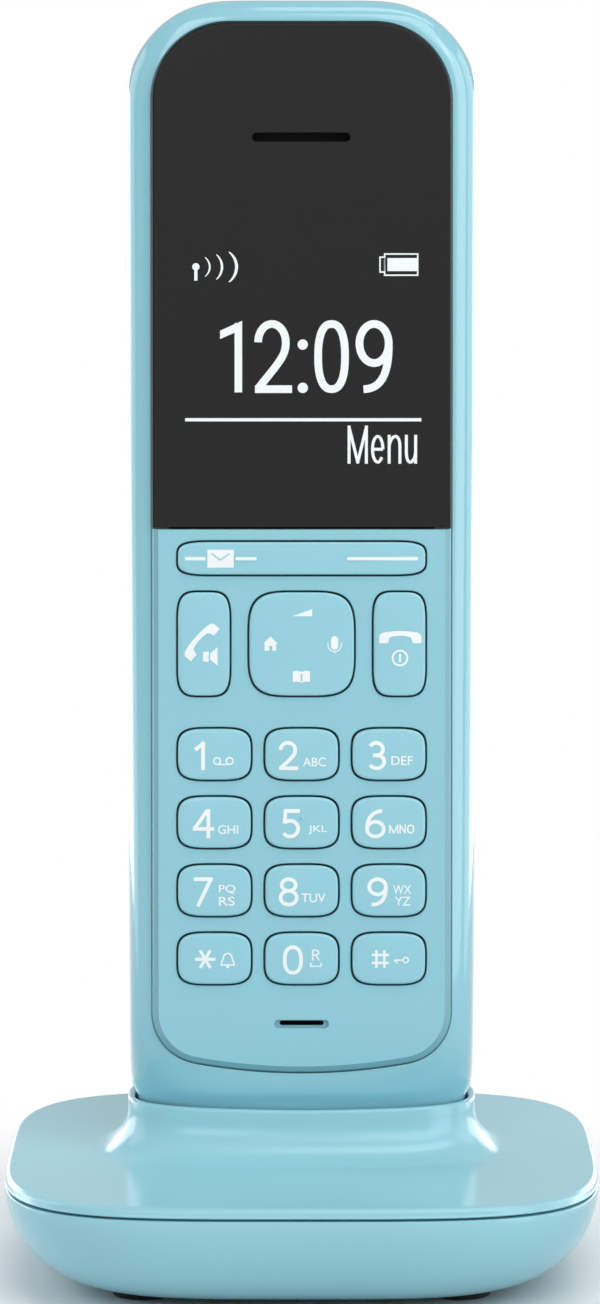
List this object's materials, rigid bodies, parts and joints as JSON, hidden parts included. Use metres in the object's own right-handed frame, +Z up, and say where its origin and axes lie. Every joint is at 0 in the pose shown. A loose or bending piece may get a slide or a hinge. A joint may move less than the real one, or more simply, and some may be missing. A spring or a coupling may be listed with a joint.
{
  "type": "cordless telephone",
  "caption": "Cordless telephone: a slim handset with display, keypad and battery bay, leaning back in a rounded-square charging cradle.",
  "frame": {"origin": "on the table plane under the middle of the cradle", "axes": "+Z up; the display and keys face -Y; +X is to the right when facing them"},
  "size_m": [0.0806, 0.0824, 0.1728],
  "materials": {
    "housing_blue": "moulded, high gloss",
    "panel_blue": "moulded, high gloss",
    "key_blue": "moulded, gloss, white legends",
    "cradle_blue": "moulded, high gloss",
    "window_black": "smoked, gloss",
    "screen_glass": "gloss",
    "white_plastic": "moulded",
    "speaker_black": "moulded",
    "grey_silicone": "silicone rubber",
    "foot_rubber": "moulded rubber",
    "steel": "plated",
    "contact_gold": "plated",
    "board_green": "solder resist",
    "cell_sleeve": "printed sleeve over a metal can",
    "socket_black": "moulded"
  },
  "bodies": {
    "cradle": {"cradle_top_cover": "cradle_blue", "cradle_bottom_shell": "cradle_blue", "rubber_feet": "foot_rubber", "contact_carrier": "white_plastic", "cradle_board": "board_green", "power_socket": "socket_black", "cradle_screws": "steel"},
    "contact_left": {"charge_contact_left": "contact_gold"},
    "contact_right": {"charge_contact_right": "contact_gold"},
    "handset": {"handset_front_housing": "housing_blue", "handset_rear_housing": "housing_blue", "display_window": "window_black", "keypad_panel": "panel_blue", "display_module": "screen_glass", "backlight_frame": "white_plastic", "earpiece_speaker": "speaker_black", "ringer_speaker": "speaker_black", "microphone": "steel", "microphone_boot": "grey_silicone", "keypad_mat": "grey_silicone", "snap_domes": "steel", "main_board": "board_green", "shield_can": "steel", "antenna": "contact_gold", "battery_cell_left": "cell_sleeve", "battery_cell_right": "cell_sleeve", "battery_contacts": "steel", "charge_pads": "contact_gold", "handset_screws": "steel"},
    "battery_cover": {"battery_cover": "housing_blue"},
    "soft_key_bar": {"soft_key_bar": "key_blue"},
    "talk_key": {"talk_key": "key_blue"},
    "end_key": {"end_key": "key_blue"},
    "navigation_pivot": {"navigation_pivot": "white_plastic"},
    "navigation_key": {"navigation_key": "key_blue"},
    "key_1": {"key_1": "key_blue"},
    "key_2": {"key_2": "key_blue"},
    "key_3": {"key_3": "key_blue"},
    "key_4": {"key_4": "key_blue"},
    "key_5": {"key_5": "key_blue"},
    "key_6": {"key_6": "key_blue"},
    "key_7": {"key_7": "key_blue"},
    "key_8": {"key_8": "key_blue"},
    "key_9": {"key_9": "key_blue"},
    "key_star": {"key_star": "key_blue"},
    "key_0": {"key_0": "key_blue"},
    "key_hash": {"key_hash": "key_blue"}
  },
  "joints": [
    {"name": "handset_lift", "type": "slide", "parent": "cradle", "child": "handset", "axis": [0, 0.0819, 0.9966], "range_m": [0, 0.06]},
    {"name": "battery_cover_release", "type": "slide", "parent": "handset", "child": "battery_cover", "axis": [0, 0.9966, -0.0819], "range_m": [0, 0.012]},
    {"name": "talk_key_press", "type": "slide", "parent": "handset", "child": "talk_key", "axis": [0, 0.9966, -0.0819], "range_m": [0, 0.00045], "stiffness_N_per_m": 400, "springref_m": -0.0002},
    {"name": "end_key_press", "type": "slide", "parent": "handset", "child": "end_key", "axis": [0, 0.9966, -0.0819], "range_m": [0, 0.00045], "stiffness_N_per_m": 400, "springref_m": -0.0002},
    {"name": "key_1_press", "type": "slide", "parent": "handset", "child": "key_1", "axis": [0, 0.9966, -0.0819], "range_m": [0, 0.00045], "stiffness_N_per_m": 400, "springref_m": -0.0002},
    {"name": "key_2_press", "type": "slide", "parent": "handset", "child": "key_2", "axis": [0, 0.9966, -0.0819], "range_m": [0, 0.00045], "stiffness_N_per_m": 400, "springref_m": -0.0002},
    {"name": "key_3_press", "type": "slide", "parent": "handset", "child": "key_3", "axis": [0, 0.9966, -0.0819], "range_m": [0, 0.00045], "stiffness_N_per_m": 400, "springref_m": -0.0002},
    {"name": "key_4_press", "type": "slide", "parent": "handset", "child": "key_4", "axis": [0, 0.9966, -0.0819], "range_m": [0, 0.00045], "stiffness_N_per_m": 400, "springref_m": -0.0002},
    {"name": "key_5_press", "type": "slide", "parent": "handset", "child": "key_5", "axis": [0, 0.9966, -0.0819], "range_m": [0, 0.00045], "stiffness_N_per_m": 400, "springref_m": -0.0002},
    {"name": "key_6_press", "type": "slide", "parent": "handset", "child": "key_6", "axis": [0, 0.9966, -0.0819], "range_m": [0, 0.00045], "stiffness_N_per_m": 400, "springref_m": -0.0002},
    {"name": "key_7_press", "type": "slide", "parent": "handset", "child": "key_7", "axis": [0, 0.9966, -0.0819], "range_m": [0, 0.00045], "stiffness_N_per_m": 400, "springref_m": -0.0002},
    {"name": "key_8_press", "type": "slide", "parent": "handset", "child": "key_8", "axis": [0, 0.9966, -0.0819], "range_m": [0, 0.00045], "stiffness_N_per_m": 400, "springref_m": -0.0002},
    {"name": "key_9_press", "type": "slide", "parent": "handset", "child": "key_9", "axis": [0, 0.9966, -0.0819], "range_m": [0, 0.00045], "stiffness_N_per_m": 400, "springref_m": -0.0002},
    {"name": "key_star_press", "type": "slide", "parent": "handset", "child": "key_star", "axis": [0, 0.9966, -0.0819], "range_m": [0, 0.00045], "stiffness_N_per_m": 400, "springref_m": -0.0002},
    {"name": "key_0_press", "type": "slide", "parent": "handset", "child": "key_0", "axis": [0, 0.9966, -0.0819], "range_m": [0, 0.00045], "stiffness_N_per_m": 400, "springref_m": -0.0002},
    {"name": "key_hash_press", "type": "slide", "parent": "handset", "child": "key_hash", "axis": [0, 0.9966, -0.0819], "range_m": [0, 0.00045], "stiffness_N_per_m": 400, "springref_m": -0.0002},
    {"name": "soft_key_rock", "type": "hinge", "parent": "handset", "child": "soft_key_bar", "pos_m": [0, -0.00199, 0.09758], "axis": [0, 0.0819, 0.9966], "range_deg": [-1.3, 1.3], "stiffness_Nm_per_rad": 0.1},
    {"name": "navigation_up_down", "type": "hinge", "parent": "handset", "child": "navigation_pivot", "pos_m": [0, -0.00295, 0.08602], "axis": [1, 0, 0], "range_deg": [-2, 2], "stiffness_Nm_per_rad": 0.06},
    {"name": "navigation_left_right", "type": "hinge", "parent": "navigation_pivot", "child": "navigation_key", "pos_m": [0, -0.00295, 0.08602], "axis": [0, 0.0819, 0.9966], "range_deg": [-2, 2], "stiffness_Nm_per_rad": 0.06},
    {"name": "contact_left_press", "type": "slide", "parent": "cradle", "child": "contact_left", "axis": [0, 0.0819, 0.9966], "range_m": [-0.0008, 0], "stiffness_N_per_m": 200, "springref_m": 0.001},
    {"name": "contact_right_press", "type": "slide", "parent": "cradle", "child": "contact_right", "axis": [0, 0.0819, 0.9966], "range_m": [-0.0008, 0], "stiffness_N_per_m": 200, "springref_m": 0.001}
  ]
}
